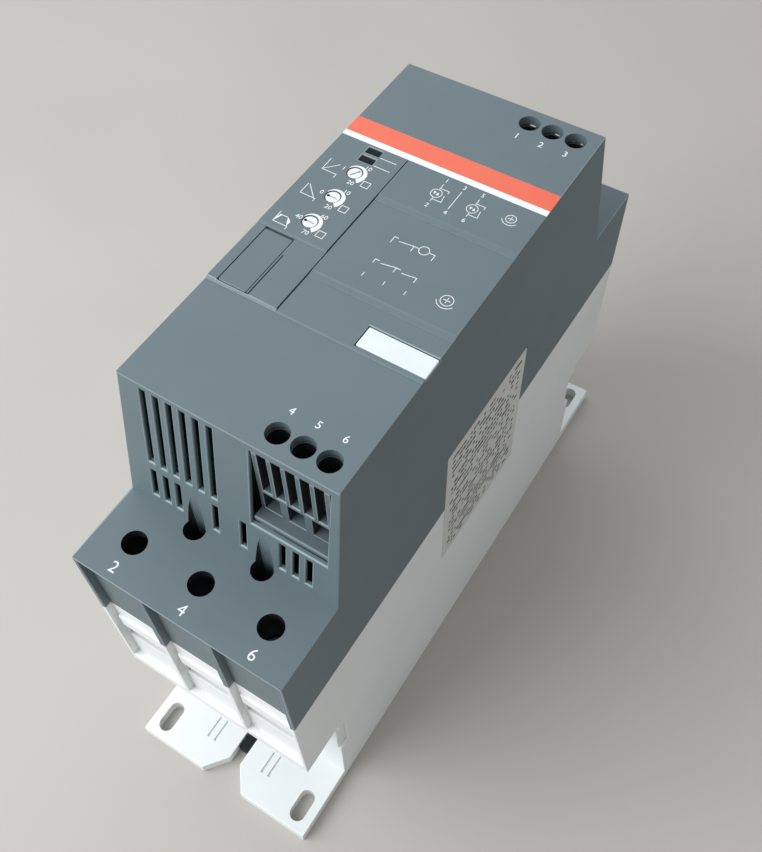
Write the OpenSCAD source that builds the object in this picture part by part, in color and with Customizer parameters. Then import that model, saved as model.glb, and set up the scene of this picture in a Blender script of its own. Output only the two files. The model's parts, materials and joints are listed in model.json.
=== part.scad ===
// Soft starter for a three-phase motor: light grey base with four slotted feet, dark cover with
// stepped terminal housings at both ends, power clamps, control terminals and setting knobs.
// X runs across the width, Y along the length with the line end at +Y, Z out of the mounting plane.

/* [Body] */
// Width of the base and of the lower part of the cover
body_w = 70; // [69:0.5:76]
// Length of the base between its lower end walls
body_l = 168; // [166:0.5:170]
// Depth from the mounting plane to the front face
body_d = 177; // [174:1:186]
// Height of the joint between base and cover
seam_z = 95; // [94:0.5:97]
// Wall thickness of both mouldings
wall = 2.2; // [1.8:0.1:2.6]
// Thickness of the floor of the base
floor_t = 3; // [2.4:0.2:4]

/* [Terminal housings] */
// How far each terminal shelf stands out beyond the lower end walls
shelf_out = 19; // [18:0.5:22]
// Height of the terminal shelves
shelf_z = 128.5; // [127:0.5:131]
// Height of the underside of the terminal housings
under_z = 52.5; // [48:0.5:55]
// How far each end face leans in from the shelf down to the underside
end_lean = 2.2; // [0:0.2:3]
// Thickness of the barriers between the phases
fin_t = 2; // [1.4:0.2:2.6]
// How far the barriers stand out of the end panels
bay_d = 2.4; // [1.6:0.2:3]
// Height of the ledge under the end panels
ledge_h = 4.5; // [3:0.5:6]
// Thickness of the outer walls of the terminal chambers
side_t = 1.5; // [1.2:0.1:2]
// Distance of a clamp screw from the edge of its shelf
clamp_inset = 12.5; // [12:0.25:13.5]
// Width of a cable window
window_w = 19; // [12:0.5:19.5]
// Height of the sill of a cable window
window_z = 71.5; // [69:0.5:73]
// Height of a cable window
window_h = 9.8; // [7:0.2:10.6]
// Height of the hood over a cable window
hood_h = 6.5; // [4:0.25:6.5]
// How far the hood stands out of its panel
hood_t = 0.8; // [0.4:0.1:1.2]
// Diameter of the key hole over a clamp screw
key_hole_d = 7.5; // [6.5:0.25:9]

/* [Front] */
// How far the foot of a leaning front wall lies inside the lower end walls
front_in = 6.5; // [5.5:0.25:8]
// How far a front wall leans in from the shelf up to the front face
front_lean = 7.5; // [4.5:0.25:9]
// Thickness of the leaning front walls, thin behind the vent slots
front_t = 1.2; // [1:0.1:2]
// How far each side of the cover leans in from the shelf up to the front face
side_lean = 1.5; // [1:0.1:2.5]
// Height of each step between the panels of the front face
step_h = 0.3; // [0.1:0.1:0.5]
// Length of the short ramps, at the near step and in the setting column
short_ramp = 0.8; // [0.6:0.1:1]
// Length of the long ramps, at the middle step and the far step
long_ramp = 2.2; // [1.6:0.1:3]
// Place along Y of the step nearest to the load end
step_near_y = -33; // [-34:0.1:-32]
// Place along Y of the middle step
step_mid_y = -16.8; // [-18:0.1:-15]
// Place along Y of the step nearest to the line end
step_far_y = 15.9; // [14:0.1:17]
// Place along Y of the step in the setting column
setting_step_y = -9.3; // [-9.8:0.1:-9]
// Width of the setting column from the left side to its joint line
setting_w = 24.3; // [23:0.1:27]
// Width of the engraved joint lines
line_w = 0.35; // [0.25:0.05:0.6]
// Depth of the engraved joint lines
line_d = 0.5; // [0.3:0.1:0.8]

/* [Vents] */
// Width of a vent slot
vent_w = 1.9; // [1.4:0.1:2.4]
// Distance between vent slots
vent_pitch = 4.2; // [3.8:0.1:4.4]
// Distance of the first vent slot from the middle
vent_first = 4.6; // [4:0.1:5.2]
// Distance of the long slots below the front face
vent_top = 3; // [2.5:0.25:5]
// Length of the long vent slots
vent_long = 28; // [20:0.5:28.5]
// Gap between the long and the short vent slots
vent_gap = 3.2; // [2:0.2:3.6]
// Length of the short vent slots
vent_short = 10.8; // [8:0.2:11.2]

/* [Control terminals] */
// Distance of the middle of the control terminals from the right side
control_edge = 15.8; // [15.4:0.1:16.4]
// Distance of the control screws from the ends of the front face
control_in = 6; // [5.5:0.25:7]
// Distance between control screws
control_pitch = 7.5; // [7.2:0.1:7.8]
// Diameter of the key hole over a control screw
control_hole_d = 6.5; // [5.8:0.1:6.8]
// Width of the opening for the control terminals
control_w = 23.6; // [23.4:0.1:24]
// Height of the opening for the control terminals
control_h = 28.75; // [27.5:0.25:29.25]
// Distance of that opening below the front face
control_top = 3.5; // [3:0.1:4]
// Travel of a control clamp
control_travel = 2.8; // [2:0.1:3]

/* [Settings] */
// Distance of the knobs from the left side
knob_edge = 14; // [13:0.25:15]
// Place of the middle knob along Y
knob_y = 8.4; // [7:0.1:9]
// Distance between knobs
knob_pitch = 11.3; // [10.6:0.1:11.8]
// Diameter of a knob
knob_d = 4.2; // [3.8:0.1:5]
// Turn of the first knob from its lowest setting, as drawn
knob_turn = 124; // [0:1:270]
// Place of the lower indicator window along Y
led_y = 26.2; // [25.5:0.1:26.4]
// Distance between the indicator windows
led_pitch = 3.8; // [3.2:0.1:3.8]
// Width of an indicator window
led_w = 4.2; // [3:0.1:5]
// Length of an indicator window
led_l = 2; // [1.4:0.1:2.4]

/* [Band and marker] */
// Start of the coloured band along Y
band_y = 34.3; // [33.5:0.1:36]
// Width of the coloured band
band_w = 6.8; // [5:0.1:8]
// Width of the white line along the band
white_w = 2.1; // [1.2:0.1:2.4]
// Thickness of the printed films
film_t = 0.25; // [0.15:0.05:0.4]
// Width of the marker tag
tag_w = 20.6; // [16:0.2:21]
// Length of the marker tag
tag_l = 6.8; // [5:0.2:7]
// Thickness of the marker tag
tag_t = 1; // [0.6:0.1:1.2]
// Length of the rating label on the side
label_l = 49; // [40:1:60]
// Height of the rating label on the side
label_h = 63; // [50:1:64]
// Height of the lower edge of the rating label
label_z = 61; // [58:1:63]
// Place of the middle of the rating label along Y
label_y = 4.5; // [-10:0.5:20]

/* [Port lid] */
// Width of the lid over the plug port
lid_w = 9; // [8:0.1:9.6]
// Thickness of the lid
lid_t = 1.8; // [1.4:0.1:2]
// Diameter of the pins of the lid
lid_pin_d = 0.9; // [0.7:0.05:1]

/* [Feet] */
// Length over the feet
foot_l = 220; // [218:1:226]
// Thickness of the feet
foot_t = 5; // [4:0.5:6]
// Gap between two feet
foot_gap = 4.4; // [3.6:0.2:6]
// Chamfer of the inner corner of a foot across X
foot_cut_x = 6.3; // [3:0.1:9]
// Chamfer of the inner corner of a foot along Y
foot_cut_y = 8; // [4:0.2:10]
// Distance of a mounting slot from the side
slot_edge = 6; // [6:0.1:10]
// Distance of a mounting slot from the tip of its foot
slot_in = 8.4; // [8:0.1:10]
// Width of a mounting slot
slot_w = 5.5; // [4.5:0.1:6]
// Straight run of a mounting slot
slot_run = 5.8; // [3:0.2:6]

/* [Power clamps] */
// Diameter of a clamp screw
screw_d = 8; // [6:0.25:8]
// Diameter of the head of a clamp screw
screw_head_d = 11.6; // [10:0.2:12]
// Height of the head of a clamp screw
screw_head_h = 7; // [5:0.25:8]
// Width across flats of the socket in a clamp screw
screw_key = 5; // [4:0.5:6]
// Width of a busbar
bar_w = 11.4; // [9:0.2:12]
// Thickness of a busbar
bar_t = 3; // [2.4:0.2:3.2]
// Clear height between a busbar and the sill of a cable window
bar_room = 11.5; // [11.2:0.1:12]
// Travel of a clamp
clamp_travel = 8; // [5:0.25:8]
// Wall of a clamp
clamp_t = 2; // [1.6:0.1:2.4]
// Length of a clamp along Y
clamp_l = 8; // [6:0.25:8]

/* [Inside] */
// Height of the mounting face of the heat sink
sink_z = 50; // [46:0.5:51]
// Thickness of the plate of the heat sink
sink_t = 8; // [6:0.5:10]
// Gap between the heat sink and the lower end walls
sink_end_gap = 3.8; // [3:0.1:6]
// Thickness of a fin of the heat sink
sink_fin_t = 2.4; // [2:0.1:3]
// Distance between the fins of the heat sink
sink_fin_pitch = 6; // [5.5:0.1:6.2]
// Width of a thyristor module or of a bypass relay
module_w = 17; // [14:0.5:17.5]
// Length of a thyristor module or of a bypass relay
module_l = 62; // [56:1:66]
// Height of the face of the control board under the front face
board_drop = 34; // [33.5:0.25:35]
// Thickness of the control board
board_t = 1.6; // [1.2:0.2:2]

/* [Clearances] */
// Clearance between parts that are fitted into each other
fit = 0.3; // [0.2:0.05:0.4]
// Clearance of a running thread
thread_gap = 0.2; // [0.15:0.05:0.3]

/* [Hidden] */
$fn = 48;
far = 400;
eps = 0.01;
over = 1;

cover_colour = "#5f6e76";
base_colour = "#dfe2e0";
metal_colour = "#b9bec2";
zinc_colour = "#cfc9b8";
copper_colour = "#b87348";
black_colour = "#23262a";
white_colour = "#f4f4f2";

ends = [-1, 1];
phases = [-1, 0, 1];

// Lengths, widths and places that follow the body
phase_pitch = (body_w + fin_t - 2 * side_t) / 3;
shelf_l = body_l + 2 * shelf_out;
front_l = body_l - 2 * front_in;
face_l = front_l - 2 * front_lean;
face_w = body_w - 2 * side_lean;
slot_pitch_x = body_w - 2 * slot_edge;
slot_pitch_y = foot_l - 2 * slot_in;
setting_x = setting_w - body_w / 2;
knob_x = knob_edge - body_w / 2;
control_x = body_w / 2 - control_edge;
control_y = face_l / 2 - control_in;
sink_l = body_l - 2 * (wall + sink_end_gap);

// Places shared by the mouldings
chamber_w = phase_pitch - fin_t;
hood_in = 1.3;
shelf_lip = 0.8;
clamp_y = shelf_l / 2 - clamp_inset;
chamber_y = end_y(under_z) - bay_d - wall;
inner_top = body_d - 3 * step_h - wall;
post_d = 8;
post_gap = 0.2;
post_rise = 4;
post_z = seam_z + post_rise;
film_gap = 0.2;

// Screws between the cover and the posts of the base
cover_screw_x = phase_pitch / 2;
cover_screw_out = 1.1;
cover_screw_y = front_l / 2 + cover_screw_out;
cover_screw_hole_d = 6.6;
cover_screw_head_d = 5.8;
cover_screw_head_h = 2.6;
cover_screw_d = 3.5;
cover_screw_l = 14;
cover_cross = [1, 3.4, 1.6];
cover_seat_t = 3;
cover_seat = post_z + post_gap + cover_seat_t;
boss_rise = 20;
boss_top = shelf_z + boss_rise;

// Busbars, clamps and screws of the power circuit
bar_z = window_z + bar_room;
bar_top = bar_z + bar_t;
bar_end_gap = 0.5;
bar_end = chamber_y - bar_end_gap;
bar_fix = [10, 40];
bar_tail = 6;
bar_screw_d = 5;
bar_screw_l = 9;
bar_head_d = 8.6;
bar_head_h = 3.5;
stand_l = 16;
clamp_in_w = bar_w + 2 * fit;
clamp_play = 1;
clamp_in_h = bar_room + bar_t + clamp_play;
clamp_nut_h = 6;
clamp_floor_t = 3;
screw_tip = bar_top + fit;
screw_key_h = 0.8 * screw_key;
head_z = window_z + clamp_in_h + clamp_nut_h + clamp_travel + fit;
sleeve_t = 1.4;
power_gap = 3;
power_y = module_l / 2 + power_gap;
power_step = [5, 4, 4];

// Heat sink and its screws
sink_side_gap = 1;
sink_leg_x = 20;
sink_leg_w = 8;
sink_fix_in = 18;
sink_fix_y = sink_l / 2 - sink_fix_in;
sink_screw_d = 5;
sink_screw_l = 12;
sink_head_d = 9;
sink_seat_t = 1.2;
sink_seat_z = floor_t - sink_seat_t;
sink_fin_gap = 5;
keel_gap = 0.4;
keel_w = foot_gap - 2 * keel_gap;
keel_in = 13;
keel_l = foot_l - 2 * keel_in;
keel_root = 20;
keel_rise = 0.6;
keel_z = [keel_rise, foot_t - keel_rise];

// Control board and its screws
board_z = body_d - board_drop;
board_edge = 2;
board_hole_in = [3.35, 8.6];
board_screw_d = 3;
board_screw_l = 8;
board_head_d = 5.6;
board_head_h = 2.2;
board_post_d = 6.4;

// Control terminals
wire_rise = 2.85;
wire_z = body_d - control_top - control_h + wire_rise;
wire_h = 4.6;
contact_t = 0.8;
contact_z = wire_z + wire_h;
contact_l = 2;
contact_pin_d = 0.9;
contact_pin_in = 2;
small_screw_d = 2.5;
small_head_d = 4.6;
small_head_h = 2;
small_slot = [0.8, 0.9];
small_in_w = 4.6;
small_play = 0.8;
small_in_h = wire_h + contact_t + small_play;
small_nut_h = 1.8;
small_floor_t = 1.2;
small_wall = 0.8;
small_l = 5;
small_head_z = wire_z + small_in_h + small_nut_h + control_travel + fit;
block_front = front_y(body_d - control_top) - post_gap;
block_tail = 7.4;
block_back = control_y - block_tail;
block_w = control_w - 2 * fit;
well_gap = 0.8;
well_d = small_head_d + 2 * well_gap;
funnel_l = 3;
funnel_flare = 0.3;
rib_slot_w = 2.6;
rib_slot_d = 2.6;
rib_end = 1.2;
rib_slot_z = [contact_z + funnel_l + rib_end, body_d];
sill_l = 3.4;
sill_drop = [2.5, 0.4];
sill_z = [wire_z - sill_drop[0], wire_z - sill_drop[1]];
board_hole = [front_x(board_z) - wall - board_edge - board_hole_in[0], block_back - board_hole_in[1]];

// Settings, indicator windows and the plug port
pot_w = 9;
pot_h = 9;
pot_bore_h = 4;
knob_shaft_d = 2.8;
knob_head_h = 3;
knob_drop = 0.2;
knob_slot = [0.45, 1.4];
knob_dot = [0.9, 1.6];
lamp_h = 1.6;
lamp_inset = 0.5;
lid_off = 4.6;
lid_x = knob_x - lid_off;
lid_gap = 0.1;
lid_y = setting_step_y - short_ramp - fit - lid_gap;
lid_l = lid_y - step_near_y - fit;
lid_axis_y = lid_y - lid_t / 2;
lid_drop = 0.1;
lid_axis_z = body_d - step_h - lid_t / 2 - lid_drop;
lid_pin_in = 0.8;
lid_pin_l = lid_w + 2 * (fit + lid_pin_in);
lid_line_gap = 0.8;
lid_line_x = lid_x + lid_w / 2 + lid_line_gap;
lid_line_in = 6.3;
socket_y = lid_y - lid_l / 2;
socket_l = 18.4;
socket_w = 7;
socket_drop = 7;
socket_z = body_d - socket_drop;
socket_pin = [1.6, 6, 3.4];
tag_gap = 0.9;
tag_y = step_near_y + tag_gap;

// Half length of the end faces at a height
function end_y(z) = shelf_l / 2 - end_lean * (shelf_z - z) / (shelf_z - under_z);
// Half length and half width of the front part of the cover at a height
function front_y(z) = front_l / 2 - (front_l - face_l) / 2 * (z - shelf_z) / (body_d - shelf_z);
function front_x(z) = body_w / 2 - (body_w - face_w) / 2 * (z - shelf_z) / (body_d - shelf_z);
// Index from 1 to 3 of a phase at -1, 0 or 1
function phase_no(p) = p + 2;

// Box from ranges along X, Y and Z
module block(x, y, z) {
    translate([x[0], y[0], z[0]]) cube([x[1] - x[0], y[1] - y[0], z[1] - z[0]]);
}

// Box centred on a place in X and Y, from one height to another
module post_box(x, y, w, l, z) {
    block([x - w / 2, x + w / 2], [y - l / 2, y + l / 2], z);
}

// Cylinder along Z from one height to another
module rod(x, y, d, z) {
    translate([x, y, z[0]]) cylinder(d = d, h = z[1] - z[0]);
}

// Outline in Y and Z, drawn across the width
module across(x) {
    translate([x[0], 0, 0]) rotate([90, 0, 90]) linear_extrude(x[1] - x[0]) children();
}

// Outline in X and Z, drawn along the length
module along(l) {
    rotate([90, 0, 0]) linear_extrude(l, center = true) children();
}

// The same shape at the load end and mirrored at the line end
module both_ends() {
    children();
    mirror([0, 1, 0]) children();
}

// A shape of the load end, at the named end
module at_end(e) {
    if (e == "load") {
        children();
    } else {
        mirror([0, 1, 0]) children();
    }
}

// Open box of the base, with the pass for the bars over its end walls
module base_box() {
    half = body_l / 2;
    in_x = body_w / 2 - wall;
    difference() {
        block([-body_w / 2, body_w / 2], [-half, half], [0, seam_z]);
        block([-in_x, in_x], [wall - half, half - wall], [floor_t, seam_z + over]);
        block([-in_x, in_x], [-half - over, half + over], [bar_z, seam_z + over]);
    }
}

// Recess of one end panel of the base and its cable window
module end_bay(x) {
    ledge_z = under_z + ledge_h;
    back = end_y(ledge_z) - bay_d;
    across([x - chamber_w / 2, x + chamber_w / 2]) polygon([
        [-back, ledge_z], [-far, ledge_z], [-far, seam_z + eps], [bay_d - end_y(seam_z), seam_z + eps]]);
    post_box(x, -end_y(window_z), window_w, 2 * (end_y(window_z) - chamber_y) + over,
        [window_z, window_z + window_h]);
}

// Raised hood over the cable window of one end panel
module window_hood(x) {
    low = window_z + window_h;
    top = low + hood_h;
    half = chamber_w / 2 - hood_in;
    across([x - half, x + half]) polygon([
        [bay_d - end_y(low) - hood_t, low], [bay_d - end_y(low) + wall, low],
        [bay_d - end_y(top) + wall, top], [bay_d - end_y(top) - hood_t, top]]);
}

// Pair of feet at the load end, with slots, inner chamfers and grooves
module feet() {
    half = foot_l / 2;
    inner = foot_gap / 2;
    groove_x = 10.4;
    groove_pitch = 2.9;
    groove_w = 0.9;
    groove_d = 0.6;
    groove_y = [10, 18];
    for (s = ends) {
        difference() {
            linear_extrude(foot_t) polygon([
                [s * inner, -body_l / 2 + eps], [s * inner, foot_cut_y - half],
                [s * (inner + foot_cut_x), -half], [s * body_w / 2, -half],
                [s * body_w / 2, -body_l / 2 + eps]]);
            for (k = [0, 1]) {
                post_box(s * (groove_x + k * groove_pitch), -half + (groove_y[0] + groove_y[1]) / 2,
                    groove_w, groove_y[1] - groove_y[0], [foot_t - groove_d, foot_t + over]);
            }
            for (k = ends) {
                rod(s * slot_pitch_x / 2, -slot_pitch_y / 2 + k * slot_run / 2, slot_w,
                    [-over, foot_t + over]);
            }
            post_box(s * slot_pitch_x / 2, -slot_pitch_y / 2, slot_w, slot_run, [-over, foot_t + over]);
        }
    }
}

// Air slots and corner notches of a lower end wall, with the slot for the keel of the heat sink
module end_wall_cuts() {
    air_w = 4;
    air_pitch = 8;
    air_in = [6, 10];
    air_z = [foot_t + air_in[0], under_z - air_in[1]];
    last_air = 3;
    notch_l = 4;
    notch_w = 1.2;
    notch_drop = [23, 4.5];
    notch_z = [under_z - notch_drop[0], under_z - notch_drop[1]];
    for (k = [-last_air : last_air]) {
        post_box(k * air_pitch, -body_l / 2, air_w, 3 * wall, air_z);
    }
    for (s = ends) {
        post_box(s * body_w / 2, -body_l / 2, 2 * notch_w, 2 * notch_l, notch_z);
    }
    block([-foot_gap / 2, foot_gap / 2], [-body_l / 2 - over, keel_root - body_l / 2],
        [-over, floor_t + foot_t]);
}

// Light grey moulded base with feet and screw posts
module base_housing() {
    color(base_colour) difference() {
        union() {
            base_box();
            both_ends() {
                feet();
                for (s = ends) {
                    rod(s * cover_screw_x, -cover_screw_y, post_d, [floor_t - eps, post_z]);
                }
            }
        }
        both_ends() {
            end_wall_cuts();
            for (s = ends) {
                rod(s * cover_screw_x, -cover_screw_y, cover_screw_d + post_gap,
                    [post_z - cover_screw_l - over, post_z + over]);
                rod(s * sink_leg_x, -sink_fix_y, sink_screw_d + 2 * fit, [-over, floor_t + over]);
                rod(s * sink_leg_x, -sink_fix_y, sink_head_d + 2 * fit, [-over, sink_seat_z]);
            }
        }
        label_pocket();
    }
}

// Terminal housing of the base at the load end: three chambers behind panels with cable windows
module terminal_housing() {
    half = body_l / 2;
    color(base_colour) difference() {
        across([-body_w / 2, body_w / 2]) polygon([
            [-half, under_z], [-half, seam_z], [-end_y(seam_z), seam_z], [-end_y(under_z), under_z]]);
        for (p = phases) {
            block([p * phase_pitch - chamber_w / 2, p * phase_pitch + chamber_w / 2],
                [-chamber_y, over - half], [under_z + wall, seam_z + over]);
            end_bay(p * phase_pitch);
        }
    }
    color(base_colour) for (p = phases) {
        window_hood(p * phase_pitch);
    }
}

module load_housing() { terminal_housing(); }
module line_housing() { mirror([0, 1, 0]) terminal_housing(); }

// Solid outside of the cover: leaning front part on the two shelves, drawn in by a distance
module cover_solid(inset, top) {
    y = inset;
    low = seam_z - (inset > 0 ? over : 0);
    shelf = shelf_z - inset;
    front = inset > 0 ? front_t : 0;
    end_in = inset > 0 ? shelf_l / 2 - chamber_y : 0;
    intersection() {
        across([-body_w, body_w]) polygon([
            [end_in - end_y(low), low], [end_y(low) - end_in, low], [shelf_l / 2 - end_in, shelf],
            [front_y(shelf_z) - front, shelf], [front_y(top) - front, top], [front - front_y(top), top],
            [front - front_y(shelf_z), shelf], [end_in - shelf_l / 2, shelf]]);
        along(shelf_l + body_l) polygon([
            [y - body_w / 2, low], [body_w / 2 - y, low], [body_w / 2 - y, shelf_z],
            [front_x(top) - y, top], [y - front_x(top), top], [y - body_w / 2, shelf_z]]);
    }
}

// Posts and sleeves inside the cover
module cover_posts() {
    for (s = ends, e = ends) {
        rod(s * board_hole[0], e * board_hole[1], board_post_d, [board_z, inner_top + eps]);
        rod(s * cover_screw_x, e * cover_screw_y, cover_screw_hole_d + 2 * wall,
            [post_z + post_gap, boss_top]);
    }
    for (p = phases, e = ends) {
        rod(p * phase_pitch, e * clamp_y, screw_head_d + 2 * fit + 2 * sleeve_t,
            [head_z + screw_head_h / 2, shelf_z - eps]);
    }
}

// Recess of an end panel between the barriers of the cover, under the lip of the shelf
module panel_recess(x) {
    top = shelf_z - shelf_lip;
    across([x - chamber_w / 2, x + chamber_w / 2]) polygon([
        [bay_d - end_y(top), top], [-far, top], [-far, seam_z - over],
        [bay_d - end_y(seam_z), seam_z - over], [bay_d - end_y(seam_z), seam_z]]);
}

// Key holes and screw seats at one end of the cover
module cover_holes() {
    for (p = phases) {
        rod(p * phase_pitch, -clamp_y, key_hole_d, [seam_z, shelf_z + over]);
        rod(p * phase_pitch, -clamp_y, screw_head_d + 2 * fit, [seam_z, shelf_z - wall - over]);
    }
    for (s = ends) {
        rod(s * cover_screw_x, -cover_screw_y, cover_screw_hole_d, [cover_seat, body_d]);
        rod(s * cover_screw_x, -cover_screw_y, cover_screw_d + 2 * fit, [seam_z, shelf_z]);
    }
    for (k = phases) {
        rod(control_x + k * control_pitch, -control_y, control_hole_d, [inner_top - over, body_d + over]);
    }
}

// Vent slots and terminal opening in one leaning front wall
module front_wall_cuts() {
    long_z = [body_d - vent_top - vent_long, body_d - vent_top];
    short_z = [long_z[0] - vent_gap - vent_short, long_z[0] - vent_gap];
    depth = shelf_l - face_l + 2 * (wall + over);
    last_vent = 5;
    for (k = [0 : last_vent]) {
        x = vent_first + k * vent_pitch;
        post_box(-x, -shelf_l / 2, vent_w, depth, long_z);
        for (s = ends) {
            if (abs(x - cover_screw_x) > cover_screw_hole_d / 2 + vent_w) {
                post_box(s * x, -shelf_l / 2, vent_w, depth, short_z);
            }
        }
    }
    post_box(control_x, -shelf_l / 2, control_w, depth,
        [body_d - control_top - control_h, body_d - control_top]);
}

// Cut over a panel of the front face, with a fine groove at the foot of a ramp that ends in a steep lip
module panel_cut(x, y, ramp, low, high) {
    lip = 0.4;
    lip_share = 0.6;
    foot = y - ramp;
    seam = [0.2, 0.12];
    across(x) polygon([[-far, low], [foot - seam[0], low], [foot - seam[0], low - seam[1]],
        [foot, low - seam[1]], [foot, low], [y - lip, high - lip_share * (high - low)],
        [y, high], [y, far], [-far, far]]);
}

// Steps, joint lines, pockets and openings of the front face
module face_cuts() {
    half = body_w;
    right = [setting_x, half];
    left = [-half, setting_x];
    level = [body_d - step_h, body_d - 2 * step_h, body_d - 3 * step_h];
    panel_cut(right, step_far_y, long_ramp, level[0], body_d);
    panel_cut(right, step_mid_y, long_ramp, level[1], level[0]);
    panel_cut(right, step_near_y, short_ramp, level[2], level[1]);
    panel_cut(left, setting_step_y, short_ramp, level[0], body_d);
    panel_cut(left, step_near_y, short_ramp, level[2], level[0]);
    block([setting_x - line_w / 2, setting_x + line_w / 2], [step_near_y, band_y - white_w],
        [level[1] - line_d, far]);
    block([lid_line_x, lid_line_x + line_w], [step_near_y, lid_y - lid_line_in], [level[0] - line_d, far]);
    block([lid_x, lid_line_x + line_w], [step_near_y, step_near_y + fit], [level[0] - line_d, far]);
    block([-half, half], [band_y - white_w, band_y + band_w], [body_d - film_t, far]);
    block([front_x(body_d) - tag_w - fit, half], [tag_y - fit, tag_y + tag_l + fit],
        [level[1] - tag_t, far]);
    for (k = phases) {
        rod(knob_x, knob_y + k * knob_pitch, knob_d + 2 * fit, [inner_top - over, far]);
    }
    for (k = [0, 1]) {
        post_box(knob_x, led_y + k * led_pitch, led_w + 2 * film_gap, led_l + 2 * film_gap,
            [inner_top - over, far]);
    }
    post_box(lid_x, socket_y, lid_w + 2 * fit, lid_l + 2 * fit,
        [lid_axis_z - lid_t / 2 - fit, far]);
    post_box(lid_x, socket_y, socket_w + 2 * fit, socket_l + 2 * fit, [inner_top - over, far]);
    translate([lid_x, lid_axis_y, lid_axis_z]) rotate([0, 90, 0])
        cylinder(d = lid_pin_d + 2 * thread_gap, h = lid_pin_l + 2 * fit, center = true);
}

// Flat seat of the rating label on the right side, across the joint of base and cover
module label_pocket() {
    half = label_l / 2 + film_gap;
    block([body_w / 2 - film_t, body_w], [label_y - half, label_y + half],
        [label_z - film_gap, label_z + label_h + film_gap]);
}

// Dark moulded cover with terminal shelves, vents, key holes and the stepped front face
module front_cover() {
    color(cover_colour) difference() {
        intersection() {
            cover_solid(0, body_d);
            union() {
                difference() {
                    cover_solid(0, body_d);
                    cover_solid(wall, inner_top);
                }
                cover_posts();
            }
        }
        both_ends() {
            cover_holes();
            front_wall_cuts();
            for (p = phases) {
                panel_recess(p * phase_pitch);
            }
        }
        for (s = ends, e = ends) {
            rod(s * board_hole[0], e * board_hole[1], board_screw_d + post_gap,
                [board_z - over, board_z + board_screw_l + over]);
        }
        face_cuts();
        label_pocket();
    }
}

// Black heat sink with fins along the length, screw legs and a keel between the feet
module heat_sink() {
    half_w = body_w / 2 - wall - sink_side_gap;
    fin_z = [floor_t + sink_fin_gap, sink_z - sink_t + eps];
    fins = floor((half_w - sink_fin_t / 2) / sink_fin_pitch);
    color(black_colour) difference() {
        union() {
            block([-half_w, half_w], [-sink_l / 2, sink_l / 2], [sink_z - sink_t, sink_z]);
            for (k = [-fins : fins]) {
                post_box(k * sink_fin_pitch, 0, sink_fin_t, sink_l, fin_z);
            }
            for (s = ends) {
                post_box(s * sink_leg_x, 0, sink_leg_w, sink_l, [floor_t, sink_z - sink_t + eps]);
            }
            both_ends() {
                block([-keel_w / 2, keel_w / 2], [-sink_l / 2, 3 * keel_root / 4 - body_l / 2],
                    [keel_z[0], fin_z[0] + eps]);
                block([-keel_w / 2, keel_w / 2], [-keel_l / 2, eps - sink_l / 2], keel_z);
            }
        }
        for (s = ends, e = ends) {
            rod(s * sink_leg_x, e * sink_fix_y, sink_screw_d + post_gap, [0, floor_t + sink_screw_l + over]);
            rod(s * cover_screw_x, e * cover_screw_y, post_d + 2 * sink_side_gap, [0, sink_z + over]);
        }
    }
}

// Control board that carries the terminals, settings, lamps and the plug socket
module control_board() {
    half_w = front_x(board_z) - wall - board_edge;
    half_l = front_y(board_z) - wall - board_edge;
    color("#2f6b46") difference() {
        block([-half_w, half_w], [-half_l, half_l], [board_z - board_t, board_z]);
        for (s = ends, e = ends) {
            rod(s * board_hole[0], e * board_hole[1], board_screw_d + 2 * fit,
                [board_z - board_t - over, board_z + over]);
        }
    }
}

// Funnel that leads a wire into a control clamp
module wire_funnel(x) {
    half = wire_h / 2;
    throat = funnel_l - block_front;
    mouth = -block_front - eps;
    intersection() {
        across([x - control_pitch, x + control_pitch]) polygon([
            [-control_y, wire_z], [mouth, wire_z], [mouth, contact_z + funnel_l],
            [throat, contact_z], [-control_y, contact_z]]);
        translate([x, 0, 0]) linear_extrude(far) polygon([
            [-half, -control_y], [-half, throat], [-half - funnel_flare, mouth],
            [half + funnel_flare, mouth], [half, throat], [half, -control_y]]);
    }
}

// Control terminal block at the load end: ribs over three wire funnels and a sill
module control_block_shape() {
    top = body_d - control_top - fit;
    cage_w = small_in_w + 2 * small_wall + 2 * fit;
    contact_back = block_back + contact_pin_in - contact_pin_d;
    span = [control_x - block_w / 2, control_x + block_w / 2];
    color("#454b50") difference() {
        union() {
            block(span, [-block_front, -block_back], [board_z, top]);
            block(span, [-block_front - sill_l, eps - block_front], sill_z);
        }
        for (k = phases) {
            x = control_x + k * control_pitch;
            rod(x, -control_y, well_d, [small_head_z - fit, far]);
            rod(x, -control_y, small_screw_d + 2 * fit, [wire_z, far]);
            post_box(x, -control_y, cage_w, small_l + 2 * fit, [wire_z - small_floor_t - fit, small_head_z]);
            block([x - small_in_w / 2, x + small_in_w / 2], [-control_y, -contact_back],
                [contact_z, contact_z + contact_t]);
            rod(x, -block_back - contact_pin_in, contact_pin_d + 2 * fit, [board_z - over, contact_z + eps]);
            wire_funnel(x);
        }
        for (k = [-2 : 2]) {
            post_box(control_x + k * vent_pitch, -block_front, rib_slot_w, 2 * rib_slot_d, rib_slot_z);
        }
    }
}

module control_block_load() { control_block_shape(); }
module control_block_line() { mirror([0, 1, 0]) control_block_shape(); }

// Metal contacts of the control terminals, down to the control board
module control_contacts() {
    color(metal_colour) both_ends() {
        for (k = phases) {
            x = control_x + k * control_pitch;
            half = small_in_w / 2 - fit;
            back = contact_pin_d / 2 - block_back - contact_pin_in;
            block([x - half, x + half], [-control_y - contact_l, back], [contact_z, contact_z + contact_t]);
            rod(x, -block_back - contact_pin_in, contact_pin_d, [board_z, contact_z + eps]);
        }
    }
}

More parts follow.
